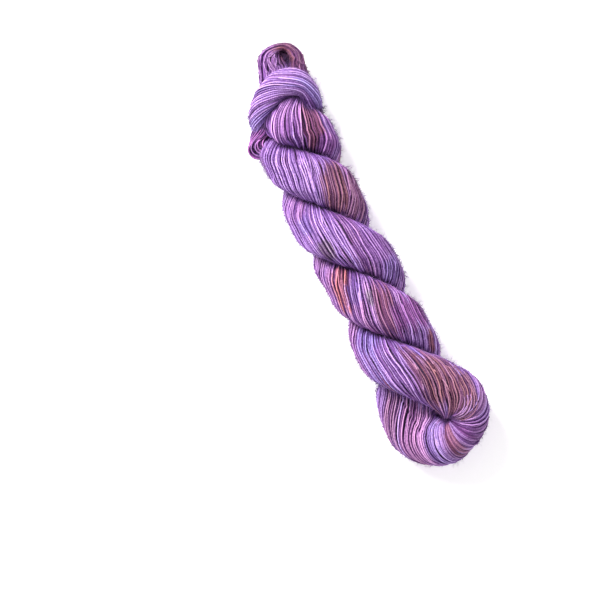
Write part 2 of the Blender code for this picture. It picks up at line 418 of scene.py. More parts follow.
def angles_of_shares(shares, sizes):
    """The angles on each section at which shares of its girth are reached."""
    angles = np.linspace(0.0, 2 * math.pi, GIRTH_STEPS + 1)
    found = np.empty_like(shares)
    for row, (outer, inner, side) in enumerate(sizes):
        depth, half = section_curve(angles, outer, inner, side)
        reached = np.concatenate([[0.0], np.cumsum(np.hypot(np.diff(depth), np.diff(half)))])
        found[row] = np.interp(shares[row] % 1.0, reached / reached[-1], angles)
    return found


print("a girth is read at", GIRTH_STEPS, "angles")

# %% [markdown]
# ## Unevenness
#
# Wound yarn is never even: a few turns lie close, a dark gap opens and closes, and some turns sink. Soft
# random numbers do this. Some move a strand sideways in bunches, a quick one crinkles it, and others let it
# sink. Seeds are fixed, so each run lays the same hank.
#
# Where the rope is thin there is no room for all strands, and squeezed ones would grow into one another. So
# some duck instead: every second one first, then every fourth and every eighth.

# %% Soft random numbers along the strands


def ease(values, low=0.0, high=1.0):
    """0 below low, 1 above high, and a soft step between."""
    t = np.clip((values - low) / (high - low), 0.0, 1.0)
    return t * t * (3 - 2 * t)


def soft_numbers(random, at, count, length, bunch):
    """Numbers that change over a length along the strands and a bunch of them across."""
    columns = max(2, round(count / bunch))
    values = random.normal(size=(int(at[-1] / length) + 3, columns))
    down = at / length
    row = down.astype(int)
    t = ease(down - row)[:, None]
    lines = values[row] * (1 - t) + values[row + 1] * t
    beside = np.arange(count) * columns / count
    column = beside.astype(int)
    u = ease(beside - column)
    return lines[:, column % columns] * (1 - u) + lines[:, (column + 1) % columns] * u


def added_numbers(random, at, count, rows):
    """Soft numbers added up, by rows of weight, length and bunch."""
    return sum(weight * soft_numbers(random, at, count, length, bunch) for weight, length, bunch in rows)


# %% Which strands duck
TIGHT_ROOM = 1.4  # millimetres that a strand takes where the turns lie tight
LOOSE_ROOM = 1.7  # and how many more where they lie loose
TIGHT = 0.8  # how loose that is
NEVER = 1.2  # a rank that no crowding reaches
DUCKING_STEP = 0.07  # crowding over which a strand goes down


def room_for_one(rope, count):
    """The room that each strand has on the surface, in millimetres."""
    return girths(rope.sizes) / count / np.sqrt(1 + rope.lean**2)


def ducked(rope, count, random):
    """1 where a strand has left the surface for want of room, and 0 where it is up."""
    turn = np.arange(count)
    chance = random.uniform(0.0, 1.0, count)
    kinds = (turn % 2 == 1, turn % 4 == 2, turn % 8 == 4)
    ranks = (chance / 2, 0.5 + chance / 4, 0.75 + chance / 8)
    rank = np.select(kinds, ranks, NEVER)
    wanted = TIGHT_ROOM + LOOSE_ROOM * (rope.loose - TIGHT)
    crowding = 1 - room_for_one(rope, count) / wanted
    return ease(crowding[:, None] - rank, -DUCKING_STEP, DUCKING_STEP)


# %% Strands laid on the rope
Lay = collections.namedtuple("Lay", "count depth bunching crinkle bend sinking thickness seed")
Strands = collections.namedtuple("Strands", "paths thickness outward sunk at home", defaults=(None, None))
OUTER = Lay(72, 0.6, 0.31, 0.25, 6, 0.35, 1.12, 11)
UNDER = Lay(60, 1.9, 0.6, 0.2, 6, 0.35, 1.6, 21)
EAR_OUTER = Lay(44, 0.6, 0.5, 1.5, 3, 0.5, 1.0, 12)
EAR_UNDER = Lay(36, 2.0, 0.5, 0.5, 6, 0.3, 1.4, 22)
LOBE_LAY = Lay(30, 0.6, 0.6, 0.4, 6, 0.5, 1.1, 13)
# Each row of soft numbers: their weight, millimetres along a strand and strands across
BUNCHES = ((0.9, 38.0, 4.0), (0.7, 20.0, 1.0))
CRINKLE_BUNCH = 2.5
SINKS = ((1.0, 34.0, 1.0), (0.6, 60.0, 2.0))
SINKING_FROM = 0.1
SINKING_RANGE = (-0.5, 1.6)
UNEVEN_HOME = 0.25
UNEVEN_THICKNESS = ((0.07, 15.0, 1.0),)
LOOSE_THICKER = 0.1
DUCKED_DEPTH = 0.5  # millimetres, where the turns lie tight
DUCKED_DEEPER = 1.0  # and how many more where they lie loose
TABLE_SOFTNESS = 1.2
TABLE_GAP = 0.05


def on_rope(rope, shares, depth):
    """Points at a depth under the rope's surface, and the way out of the rope at each."""
    angles = angles_of_shares(shares, rope.sizes)
    outer, inner, side = (rope.sizes[:, [column]] - depth for column in range(3))
    out, half = section_curve(angles, outer, inner, side)
    face, across = rope.face[:, None], rope.side[:, None]
    points = rope.middle[:, None] + out[..., None] * face + half[..., None] * across
    deep = np.where(out >= 0, outer, inner)
    outward = unit((out / deep**2)[..., None] * face + (half / side**2)[..., None] * across)
    points[..., 2] = AXIS_UP + (points[..., 2] - AXIS_UP) * SAG
    return points, outward


def rest_on_table(paths, thickness):
    """Strands that would go through the table lie on it."""
    lowest = thickness / 2 + TABLE_GAP
    above = paths[..., 2] - lowest
    paths[..., 2] = lowest + TABLE_SOFTNESS * np.logaddexp(0.0, above / TABLE_SOFTNESS)


def lay_strands(rope, lay):
    """Strands round the rope, by place along the rope and by strand, in millimetres."""
    random = np.random.default_rng(lay.seed)
    loose = rope.loose[:, None]
    crinkles = (lay.crinkle, lay.bend, CRINKLE_BUNCH)
    bunches = added_numbers(random, rope.at, lay.count, (*BUNCHES, crinkles))
    sinks = added_numbers(random, rope.at, lay.count, SINKS)
    left = ducked(rope, lay.count, random)
    home = np.arange(lay.count) + random.uniform(-UNEVEN_HOME, UNEVEN_HOME, lay.count)
    shares = (home + lay.bunching * loose * bunches) / lay.count + rope.wound[:, None]
    sunk = lay.depth + lay.sinking * loose * np.clip(sinks - SINKING_FROM, *SINKING_RANGE)
    sunk += left * (DUCKED_DEPTH + DUCKED_DEEPER * (loose - TIGHT))
    paths, outward = on_rope(rope, shares, sunk)
    thickness = 1 + LOOSE_THICKER * (loose - TIGHT)
    thickness = thickness + added_numbers(random, rope.at, lay.count, UNEVEN_THICKNESS)
    thickness *= lay.thickness
    rest_on_table(paths, thickness)
    return Strands(paths, thickness, outward, sunk, rope.at, np.arange(lay.count) / lay.count)


outer = lay_strands(rope, OUTER)
under = lay_strands(read_rope(rope_sections, COARSE), UNDER)
ear_outer = lay_strands(ear, EAR_OUTER)
ear_under = lay_strands(read_rope(ear_sections, EAR_COARSE), EAR_UNDER)
lobe = lay_strands(read_rope(lobe_sections, EAR_FINE), LOBE_LAY)
room = room_for_one(rope, OUTER.count).round(2)
print("room for one strand in mm:", room.min(), "to", room.max())

# %% [markdown]
# ## Where light hardly reaches
#
# Between two plies, and where the collar lies on them, almost no light gets in. The bright top of a ply and
# this dark line beside it make a twist look thick. The line is painted shade: each place of a strand is
# asked how far the nearest other stretch of the rope is, and its colour is darkened the closer that is.

# %% How close another stretch of the rope is
CREASE_REACH = 5.0  # millimetres over which a crease darkens
SAME_STRETCH = 30.0  # along the rope, still the same stretch
SLICE = 5.0  # half the length of rope that a section stands for
ROW_STEP = 3  # every third row of the rope is asked


def gap_to(points, rope, rows):
    """How far points are from the rope's surface at some of its rows."""
    apart = points[:, None] - rope.middle[rows]
    out = np.sum(apart * rope.face[rows], axis=-1)
    half = np.sum(apart * rope.side[rows], axis=-1)
    beyond = np.abs(np.sum(apart * np.cross(rope.face[rows], rope.side[rows]), axis=-1))
    outer, inner, side = rope.sizes[rows].T
    deep = np.where(out >= 0, outer, inner)
    reach = np.sqrt((out / deep) ** 2 + (half / side) ** 2)
    return np.where(beyond < SLICE, (reach - 1) * np.sqrt(deep * side), CREASE_REACH)


def creases(strands, own, other):
    """1 where another stretch of rope touches the strand, 0 where none is in reach."""
    nearest = np.full(strands.paths.shape[:2], CREASE_REACH)
    for row, points in enumerate(strands.paths):
        points = points.copy()
        points[:, 2] = AXIS_UP + (points[:, 2] - AXIS_UP) / SAG
        for asked in (own, other):
            rows = np.arange(0, len(asked.at), ROW_STEP)
            if asked is own:
                rows = rows[np.abs(own.at[rows] - strands.at[row]) > SAME_STRETCH]
            nearest[row] = np.minimum(nearest[row], gap_to(points, asked, rows).min(axis=1))
    return np.clip(1 - nearest / CREASE_REACH, 0, 1)


def away_from(strands, along, across):
    """How far the strands are from a place of the hank, seen from above."""
    middle = place(along, across, 0.0)
    return np.hypot(strands.paths[..., 0] - middle[0], strands.paths[..., 1] - middle[1])


def shaded_at(strands, along, across, reach):
    """1 over a place of the hank and 0 from reach on."""
    return np.clip(1 - away_from(strands, along, across) / reach, 0, 1)


outer_creases = creases(outer, rope, ear)
print("share of the outer strands that lies in a crease:", round((outer_creases > 0).mean(), 2))

# %% [markdown]
# ## The dye
#
# The hank was dipped and painted by hand. Colours lie in patches and end in ragged streaks, because dye
# follows the strands. Each row below is such a patch: where its middle shows on top of the hank, its width
# across the strands and its length along them. The script finds the strand that shows there and dyes its
# neighbours too, each to a different length.
#
# Away from the rows, soft random numbers dye the rest: wild dyes in clouds over several strands, lone dyes
# on single ones. In how light it is, each strand is set against its neighbours, and more so inside a patch,
# which keeps the fine lines clear.

# %% Patches of dye
Patch = collections.namedtuple("Patch", "along across width length dye strength")
DYES = ("blue", "pink", "magenta", "olive", "rust", "brown", "clay", "orange", "rose")
HANK_PATCHES = (
    (25.9, 16.5, 12, 26, "blue", 0.7),
    (27, -23.5, 16, 34, "rose", 0.15),
    (30.5, -9.1, 16, 40, "pink", 0.5),
    (44.1, 4.8, 11, 90, "rust", 1),
    (58, 11, 11, 34, "rose", 0.45),
    (68.9, 13.5, 5, 40, "rust", 1),
    (93.5, 9.5, 20, 70, "clay", 0.9),
    (84.5, 2.8, 11, 70, "brown", 1),
    (97.1, -29.2, 8, 26, "blue", 0.5),
    (121, -22.5, 7, 26, "olive", 0.75),
    (132, 10, 22, 46, "magenta", 0.35),
    (149.6, 13, 10, 30, "blue", 0.45),
    (138.1, -30, 6, 30, "pink", 0.7),
    (146, -25.6, 7.5, 70, "orange", 1),
    (152, -19.5, 7, 30, "blue", 0.3),
    (168, -5.5, 8, 70, "rust", 0.9),
    (158, -10, 2.5, 26, "olive", 0.7),
    (179.8, 9.5, 18, 46, "magenta", 1),
    (202.5, 14.5, 4, 24, "rust", 1),
    (182.2, -23.4, 10, 26, "blue", 0.7),
    (223.4, -22.4, 1.8, 44, "orange", 0.8),
    (208.9, -1.5, 5, 66, "clay", 0.8),
    (224, 8, 20, 80, "brown", 0.95),
    (240.8, 19.3, 14, 50, "brown", 0.9),
    (233.5, -33.1, 9, 40, "clay", 0.8),
    (248.6, -24.5, 18, 50, "pink", 0.85),
    (260.8, -14.4, 9, 40, "blue", 0.35),
    (265.4, -5, 8, 40, "rust", 0.9),
    (265.2, 9.6, 16, 50, "magenta", 0.6),
    (259.5, 3, 6, 26, "magenta", 0.9),
)
EAR_PATCHES = (
    (-12, 11.6, 80, 46, "brown", 1),
    (1.5, 17, 12, 16, "clay", 1),
    (-5.5, -5, 24, 26, "pink", 0.35),
)
# Each row: the dye, how high a soft number has to be for it, and how strong it is there
WILD_DYES = (("blue", 0.75, 0.5), ("pink", 0.6, 0.45), ("magenta", 0.95, 0.5),
             ("olive", 1.5, 0.6), ("rust", 1.7, 0.8))
LONE_DYES = (("pink", 0.8, 0.3), ("clay", 1.5, 0.4), ("blue", 1.2, 0.3))
print("patches of dye:", len(HANK_PATCHES) + len(EAR_PATCHES))

# %% Dye for each place of each strand
WILD_CLOUDS = ((1.0, 60.0, 9.0), (0.2, 25.0, 1.0))
LONE_STREAKS = ((1.0, 40.0, 1.0),)
# Each row: dyes, their soft numbers, and over how much of those a dye sets in
WILD_AND_LONE = ((WILD_DYES, WILD_CLOUDS, 0.6), (LONE_DYES, LONE_STREAKS, 0.5))
SPOT = 2.0  # millimetres from a patch's middle to its strand, at most
FAR_BELOW = 1000.0
SIDE_RAGGED = 0.12  # how unevenly and how sharply a patch ends at its sides,
SIDE_SHARPNESS = 5
END_REACH = 1.2  # and at its ends
END_RAGGED = 0.2
END_FADE = 0.45
LEAST_TAKEN = 0.7
MEAN_LIGHT = 0.55
SOFT_LIGHT = ((0.08, 45.0, 6.0),)
STRAND_LIGHT = ((1.0, 55.0, 1.0),)
LIGHT_APART = 0.32  # how far the strands' light is set apart,
LIGHT_APART_SHOWN = 0.16  # and how much more inside a patch
NEIGHBOURS_SHARE = 0.9


def dye_spot(patch, strands):
    """The row and the strand that show at the patch's middle, seen from above."""
    away = away_from(strands, patch.along, patch.across)
    seen = strands.paths[..., 2] - np.where(away < SPOT, 0.0, FAR_BELOW)
    return np.unravel_index(np.argmax(seen), seen.shape)


def apart_from_neighbours(values):
    """Numbers less those of the two neighbours on each side."""
    beside = [np.roll(values, steps, axis=1) for steps in (-2, -1, 1, 2)]
    return values - NEIGHBOURS_SHARE * sum(beside) / len(beside)


def patch_mask(patch, strands, rope, painted, random):
    """How much of a patch's dye each place takes. painted are the strands on which it is found."""
    count = strands.paths.shape[1]
    row, strand = dye_spot(patch, painted)
    girth = girths(rope.sizes[[row]])[0]
    steep = math.sqrt(1 + rope.lean[row] ** 2)
    beside = (strands.home - painted.home[strand] + 0.5) % 1.0 - 0.5
    beside = np.abs(beside) * girth / steep / (patch.width / 2)
    beyond = np.abs(strands.at - rope.at[row]) * steep / (patch.length / 2)
    ragged = END_RAGGED * random.normal(size=count)
    inside = (1 - beside + SIDE_RAGGED * random.normal(size=count)) * SIDE_SHARPNESS
    reached = ease(END_REACH - beyond[:, None] + ragged, 0.0, END_FADE)
    return reached * np.clip(inside, 0, 1) * random.uniform(LEAST_TAKEN, 1.0, count)


def dye_strands(strands, rope, patches, painted, seed):
    """The dyes and the light at each place of each strand."""
    random = np.random.default_rng(seed)
    count = strands.paths.shape[1]
    amounts = {dye: np.zeros(strands.paths.shape[:2]) for dye in DYES}
    for dyes, clouds, step in WILD_AND_LONE:
        for dye, level, strength in dyes:
            values = added_numbers(random, strands.at, count, clouds)
            amounts[dye] += strength * ease(values, level, level + step)
    shown = np.zeros(strands.paths.shape[:2])
    for patch in map(Patch._make, patches):
        mask = patch_mask(patch, strands, rope, painted, random)
        shown = np.maximum(shown, mask)
        for dye in DYES:
            amounts[dye] *= 1 - mask
        amounts[patch.dye] += patch.strength * mask
    light = MEAN_LIGHT + added_numbers(random, strands.at, count, SOFT_LIGHT)
    apart = apart_from_neighbours(added_numbers(random, strands.at, count, STRAND_LIGHT))
    light += (LIGHT_APART + LIGHT_APART_SHOWN * shown) * apart
    amounts["light"] = np.clip(light, 0, 1)
    return amounts


outer_dye_and_shade = dye_strands(outer, rope, HANK_PATCHES, outer, 31)
under_dye_and_shade = dye_strands(under, rope, HANK_PATCHES, outer, 32)
ear_dye_and_shade = dye_strands(ear_outer, ear, EAR_PATCHES, ear_outer, 33)
ear_under_dye_and_shade = dye_strands(ear_under, ear, EAR_PATCHES, ear_outer, 34)
print("mean brown on the outer strands:", round(outer_dye_and_shade["brown"].mean(), 3))

# %% [markdown]
# ## Shade where the picture is darkest
#
# The pinch at the foot and the hollow of the ear are deep and dark, so strands near them are shaded at
# given places. More light reaches the collar on top, so its creases are weaker, but as a whole it is a
# little duller than the plies.

# %% The crease and the light of each strand
PINCH_SHADE = (252.0, 3.0, 7.0)  # along, across and how far the shade reaches
HOLLOW_SHADES = ((-10.0, 8.6, 6.0), (-6.0, 9.8, 6.0), (-1.5, 10.5, 6.0))
COLLAR_LENGTH = 117.0  # millimetres of rope
COLLAR_FADE = 20.0
COLLAR_OPEN = 0.45  # the share of a crease that light fills
COLLAR_DULLER = 0.12
EAR_LIGHT = 0.75

on_collar = 1 - ease(outer.at, COLLAR_LENGTH - COLLAR_FADE, COLLAR_LENGTH)[:, None]
# Painted shade: creases, the pinch and the hollow of the ear darken the strands' colour, the collar's
# creases less
outer_dye_and_shade["crease"] = np.maximum(outer_creases, shaded_at(outer, *PINCH_SHADE))
outer_dye_and_shade["crease"] *= 1 - COLLAR_OPEN * on_collar
outer_dye_and_shade["light"] = np.clip(outer_dye_and_shade["light"] - COLLAR_DULLER * on_collar, 0, 1)
under_dye_and_shade["crease"] = creases(under, rope, ear)
ear_dye_and_shade["crease"] = (1 - COLLAR_OPEN) * creases(ear_outer, ear, rope)
for shade in HOLLOW_SHADES:
    ear_dye_and_shade["crease"] = np.maximum(ear_dye_and_shade["crease"], shaded_at(ear_outer, *shade))
ear_dye_and_shade["light"] *= EAR_LIGHT
ear_under_dye_and_shade["crease"] = creases(ear_under, ear, rope)
print("mean light of the ear:", round(ear_dye_and_shade["light"].mean(), 2))

# %% [markdown]
# ## The yarn's material
#
# One material dyes every strand. The amounts of dye are attributes, numbers kept at the points of a strand.
# The material lays the dyes over a purple ground one after another, then lightens or darkens the whole.
# Sides, sunk places and creases get painted shade, darker and more purple, since light there has already met
# other yarn. A ripple for the spun threads and a fine noise for the fibres give the grain.

# %% The dyes' colours
PALETTE = {
    "purple": (0.4, 0.2, 0.55),
    "blue": (0.24, 0.165, 0.5),
    "pink": (0.47, 0.18, 0.42),
    "magenta": (0.28, 0.08, 0.3),
    "olive": (0.2, 0.13, 0.16),
    "rust": (0.275, 0.078, 0.125),
    "brown": (0.29, 0.098, 0.125),
    "clay": (0.36, 0.135, 0.245),
    "orange": (0.5, 0.14, 0.165),
    "rose": (0.56, 0.15, 0.52),
    # The next three colours are painted shade: for the sides of strands and sunk strands, near creases and
    # in them
    "painted_gap_shade": (0.33, 0.22, 0.42),
    "near_crease_shade": (0.52, 0.42, 0.58),
    "crease": (0.065, 0.026, 0.105),
    "least_light": (0.54, 0.45, 0.6),
    "most_light": (2.05, 2.6, 1.92),
}
YARN_SHINE = {
    "Roughness": 0.6,
    "Specular IOR Level": 0.25,
    "Specular Tint": (0.95, 0.75, 1.0, 1.0),
    "Sheen Weight": 0.12,
    "Sheen Roughness": 0.4,
    "Sheen Tint": (0.85, 0.6, 1.0, 1.0),
}


def colour(name):
    return (*PALETTE[name], 1.0)


print("colours:", len(PALETTE))

# %% Helpers that add nodes


def new_nodes(material):
    """Helpers with which a recipe of nodes reads as one line for each step."""
    nodes = material.node_tree.nodes
    links = material.node_tree.links

    def put(socket, value):
        if isinstance(value, bpy.types.NodeSocket):
            links.new(value, socket)
        else:
            socket.default_value = value

    def amount(fact):
        node = nodes.new("ShaderNodeAttribute")
        node.attribute_name = fact
        return node.outputs["Fac"]

    def mixed(factor, first, second, blend="MIX"):
        node = nodes.new("ShaderNodeMix")
        node.data_type = "RGBA"
        node.blend_type = blend
        sockets = {socket.identifier: socket for socket in node.inputs}
        put(sockets["Factor_Float"], factor)
        put(sockets["A_Color"], first)
        put(sockets["B_Color"], second)
        return next(socket for socket in node.outputs if socket.identifier == "Result_Color")

    def stepped(value, low, high, least=0.0, most=1.0):
        node = nodes.new("ShaderNodeMapRange")
        node.interpolation_type = "SMOOTHSTEP"
        names = ("Value", "From Min", "From Max", "To Min", "To Max")
        for name, given in zip(names, (value, low, high, least, most)):
            put(node.inputs[name], given)
        return node.outputs["Result"]

    def sums(operation, first, second=0.0):
        node = nodes.new("ShaderNodeMath")
        node.operation = operation
        put(node.inputs[0], first)
        put(node.inputs[1], second)
        return node.outputs[0]

    return put, amount, mixed, stepped, sums


# %% The material
PLIES = 3  # thin threads that the yarn is spun from
PLY_TURN = 4.0  # millimetres of yarn to one turn of them
PLY_LIGHT = 0.05
FIBRE_EDGES = (0.35, 0.65)
FIBRE_LIGHT = 0.16
FACING = (0.25, 1.0)  # painted shade by how far it faces out, from the darker gap colour to its own
DEPTHS = (2.3, 0.6)  # and how many millimetres it has sunk
# painted shade near a crease and in it
NEAR_CREASE_SHADE = (0.0, 0.75)
IN_CREASE_SHADE = (1.0, 0.6)


def yarn_material():
    material = plain_material("hand_dyed_yarn", YARN_SHINE)
    nodes = material.node_tree.nodes
    put, amount, mixed, stepped, sums = new_nodes(material)

    around = nodes.new("ShaderNodeSeparateXYZ")
    put(around.inputs[0], nodes.new("ShaderNodeUVMap").outputs["UV"])
    wound = sums("MULTIPLY", amount("run"), PLIES / PLY_TURN)
    turns = sums("ADD", sums("MULTIPLY", around.outputs["Y"], PLIES), wound)
    ridge = sums("SINE", sums("MULTIPLY", turns, 2 * math.pi))
    fibres = nodes.new("ShaderNodeTexNoise")
    put(fibres.inputs["Vector"], nodes.new("ShaderNodeTexCoord").outputs["Object"])
    set_inputs(fibres, {"Scale": 900.0, "Detail": 3.0})
    spots = fibres.outputs["Fac"]

    dyed = colour("purple")
    for dye in DYES:
        dyed = mixed(amount(dye), dyed, colour(dye))
    lit = sums("ADD", amount("light"), sums("MULTIPLY", ridge, PLY_LIGHT))
    lit = sums("ADD", lit, stepped(spots, *FIBRE_EDGES, -FIBRE_LIGHT, FIBRE_LIGHT))
    tone = mixed(lit, colour("least_light"), colour("most_light"))
    toned = mixed(1.0, dyed, tone, "MULTIPLY")
    in_painted_shade = mixed(1.0, toned, colour("painted_gap_shade"), "MULTIPLY")
    from_side = mixed(stepped(amount("facing"), *FACING), in_painted_shade, toned)
    from_deep = mixed(stepped(amount("sunk"), *DEPTHS), in_painted_shade, from_side)
    crease = amount("crease")
    near_crease_shade = mixed(stepped(crease, *NEAR_CREASE_SHADE), from_deep, colour("near_crease_shade"), "MULTIPLY")
    crease_shaded = mixed(stepped(crease, *IN_CREASE_SHADE), colour("crease"), near_crease_shade)

    relief = nodes.new("ShaderNodeBump")
    set_inputs(relief, {"Strength": 0.6, "Distance": 0.00012})
    put(relief.inputs["Height"], sums("ADD", ridge, spots))
    shader = nodes["Principled BSDF"]
    put(shader.inputs["Base Color"], crease_shaded)
    put(shader.inputs["Normal"], relief.outputs["Normal"])
    return material


yarn = yarn_material()
print("yarn material has", len(yarn.node_tree.nodes), "nodes")

# %% [markdown]
# ## From a path to a strand
#
# A curve with a round bevel is the plain tool for a strand: it needs only the points of its path and a
# radius at each. It is made into a mesh, and each ring of that gets what the material needs to know.

# %% Curves made into meshes
SIX_SIDES = 1  # bevel resolutions of a curve
FOUR_SIDES = 0

pieces = []


def close_ends(mesh):
    bm = bmesh.new()
    bm.from_mesh(mesh)
    bmesh.ops.holes_fill(bm, edges=[edge for edge in bm.edges if edge.is_boundary])
    bm.to_mesh(mesh)
    bm.free()


def tube_mesh(name, paths, thickness, bevel_resolution):
    """Round tubes along the paths, one for each column."""
    rows, count = thickness.shape
    curve = bpy.data.curves.new(name, "CURVE")
    curve.dimensions = "3D"
    curve.bevel_depth = MM
    curve.bevel_resolution = bevel_resolution
    for strand in range(count):
        spline = curve.splines.new("POLY")
        spline.points.add(rows - 1)
        points = np.ones((rows, 4))
        points[:, :3] = paths[:, strand] * MM
        spline.points.foreach_set("co", points.ravel())
        spline.points.foreach_set("radius", thickness[:, strand] / 2)
    carrier = placed(name + "_curve", curve)
    graph = bpy.context.evaluated_depsgraph_get()
    mesh = bpy.data.meshes.new_from_object(carrier.evaluated_get(graph))
    bpy.data.objects.remove(carrier)
    bpy.data.curves.remove(curve)
    mesh.name = name
    return mesh


def add_strands(name, strands, amounts, bevel_resolution, chosen=slice(None)):
    """One piece of the chosen strands, with their dye, painted shade and place kept as attributes."""
    paths = strands.paths[:, chosen]
    thickness = strands.thickness[:, chosen]
    mesh = tube_mesh(name, paths, thickness, bevel_resolution)
    rows, count = thickness.shape
    sides = len(mesh.vertices) // (rows * count)
    points = np.empty(len(mesh.vertices) * 3)
    mesh.vertices.foreach_get("co", points)
    from_path = points.reshape(count, rows, sides, 3) / MM - paths.swapaxes(0, 1)[:, :, None]
    outward = strands.outward[:, chosen].swapaxes(0, 1)[:, :, None]
    facing = np.sum(from_path * outward, axis=-1) / (thickness.T[..., None] / 2)
    steps = np.linalg.norm(np.diff(paths, axis=0, prepend=paths[:1]), axis=-1)
    facts = {"sunk": strands.sunk[:, chosen], "run": np.cumsum(steps, axis=0)}
    facts.update({fact: values[:, chosen] for fact, values in amounts.items()})
    facts = {fact: np.repeat(values.T.ravel(), sides) for fact, values in facts.items()}
    for fact, values in {"facing": facing.ravel(), **facts}.items():
        mesh.attributes.new(fact, "FLOAT", "POINT").data.foreach_set("value", values.astype(np.float32))
    close_ends(mesh)
    mesh.shade_smooth()
    mesh.materials.clear()
    mesh.materials.append(yarn)
    pieces.append(placed(name, mesh))
    triangles = sum(len(face.vertices) - 2 for face in mesh.polygons)
    print(name, "has", count, "strands with", sides, "sides and", triangles, "triangles")


# %% Every turn of yarn on the hank
SPLIT = 18  # strands in one piece

for part, first in enumerate(range(0, OUTER.count, SPLIT)):
    chosen = slice(first, first + SPLIT)
    add_strands("outer_turns_%d" % (part + 1), outer, outer_dye_and_shade, SIX_SIDES, chosen)
add_strands("under_turns", under, under_dye_and_shade, FOUR_SIDES)
add_strands("ear_turns", ear_outer, ear_dye_and_shade, SIX_SIDES)
add_strands("ear_under_turns", ear_under, ear_under_dye_and_shade, FOUR_SIDES)

# %% [markdown]
# ## Turns that stray
#
# Here and there a turn comes up from below, crosses its neighbours at a slant and goes down again. Such
# strays break the even lines. They lie on the same rope, with a share of the girth that drifts, and take
# the dye of the strands that they cross.

# %% Strands that cross others
STRAY_COUNT = 90
STRAY_ROWS = 30
STRAY_LENGTHS = (26.0, 60.0)  # millimetres
STRAY_THICKNESS = 1.15
STRAY_TOP = 0.15  # millimetres below the surface
STRAY_END = 3.0  # millimetres that both ends go down
STRAY_FADE = 0.16  # share of the length
# painted highlight on strays, which lie on top of the other strands
STRAY_PAINTED_HIGHLIGHT = 0.12
LEAST_DRIFT = 0.3
SHARES_CROSSED = 0.05  # the most that a stray drifts, as a share of the girth
NEAR_SURFACE = 0.5  # millimetres sunk, of strands that lie open


def stretch(rope, at):
    """The rope read again at other places."""
    def read(column):
        return np.interp(at, rope.at, column)

    return Rope(*(np.apply_along_axis(read, 0, values) for values in rope))


def borrow(amounts, rows, turns):
    """Dye and painted shade taken from places of other strands."""
    return {fact: values[rows, turns] for fact, values in amounts.items()}


def stray_strands(rope, amounts):
    """Strands that cross others, and the dye and painted shade that they borrow from them."""
    random = np.random.default_rng(41)
    t = np.linspace(0.0, 1.0, STRAY_ROWS)
    down = 1 - ease(t, 0.0, STRAY_FADE) * ease(1 - t, 0.0, STRAY_FADE)
    depth = STRAY_TOP + STRAY_END * down
    laid = []
    for _ in range(STRAY_COUNT):
        length = random.uniform(*STRAY_LENGTHS)
        part = stretch(rope, random.uniform(0.0, rope.at[-1] - length) + t * length)
        home = random.uniform()
        drift = random.choice((-1, 1)) * random.uniform(LEAST_DRIFT, 1.0) * SHARES_CROSSED
        shares = home + drift * (t - 0.5)
        points, away = on_rope(part, (shares + part.wound)[:, None], depth[:, None])
        rows = np.searchsorted(rope.at, part.at).clip(0, len(rope.at) - 1)
        laid.append((points[:, 0], away[:, 0], rows, (shares * OUTER.count).astype(int) % OUTER.count))
    paths, outward, rows, turns = (np.stack(values, axis=1) for values in zip(*laid))
    thickness = np.full(rows.shape, STRAY_THICKNESS)
    rest_on_table(paths, thickness)
    sunk = np.zeros(rows.shape) + (NEAR_SURFACE + STRAY_END * down)[:, None]
    return Strands(paths, thickness, outward, sunk), borrow(amounts, rows, turns)


strays, stray_dye_and_shade = stray_strands(rope, outer_dye_and_shade)
# Painted highlight: strays lie on top of the others, so they are made lighter
stray_dye_and_shade["light"] = np.clip(stray_dye_and_shade["light"] + STRAY_PAINTED_HIGHLIGHT, 0, 1)
add_strands("stray_turns", strays, stray_dye_and_shade, SIX_SIDES)

# %% [markdown]
# ## The slack turns
#
# Where the collar comes round at the lower left, a few turns were too long. They gather in a pink bundle
# and hang below it in open loops, one inside the other. Each is a curve through a few places: how far along
# and across the hank, and how high. The lobe behind them lies in their shade, painted on it as a dark
# colour.

# %% Loops under the collar
SLACK_TURNS = (
    ((25.6, -20.5, 29), (29.7, -22.6, 32.5), (32.4, -26, 29.5), (33.2, -31.1, 25.4),
     (34.3, -35.6, 22), (37, -38.9, 18), (40.9, -39.2, 16), (43.7, -37.3, 16),
     (45.8, -33.2, 18), (47.4, -28.2, 19), (49.5, -22, 16)),
    ((25.5, -22.3, 28.5), (29.3, -24.1, 31), (31.6, -27.8, 28.5), (32.8, -32, 25.6),
     (34.6, -35.1, 22.8), (37.9, -37.2, 20), (41.5, -36.6, 18.5), (43.8, -34.1, 19.5),
     (45.5, -30.2, 21), (46.2, -26.2, 20), (49, -21, 17)),
    ((32.1, -21.2, 26), (33.9, -27.5, 26.2), (34.8, -30.8, 25.6), (36.4, -33.5, 24.6),
     (38.5, -34.5, 23.6), (41.3, -34, 22.6), (43.1, -32.3, 22.8), (44.6, -29, 22.5),
     (48, -22, 18)),
    ((33, -20.9, 24.5), (34.2, -24.7, 26.8), (34.8, -29, 26), (35.6, -31.5, 25.6),
     (37.3, -32.5, 25.3), (39.7, -32.8, 24.7), (41.6, -31.9, 24.4), (43.6, -28.5, 23),
     (47, -22, 18)),
    ((33.5, -19.7, 24), (33.9, -23.1, 27), (35.3, -26.5, 25.9), (36.7, -28.4, 25.6),
     (38.4, -29.4, 25.5), (40.8, -29, 25), (42.7, -27.4, 23), (46, -22, 18)),
)
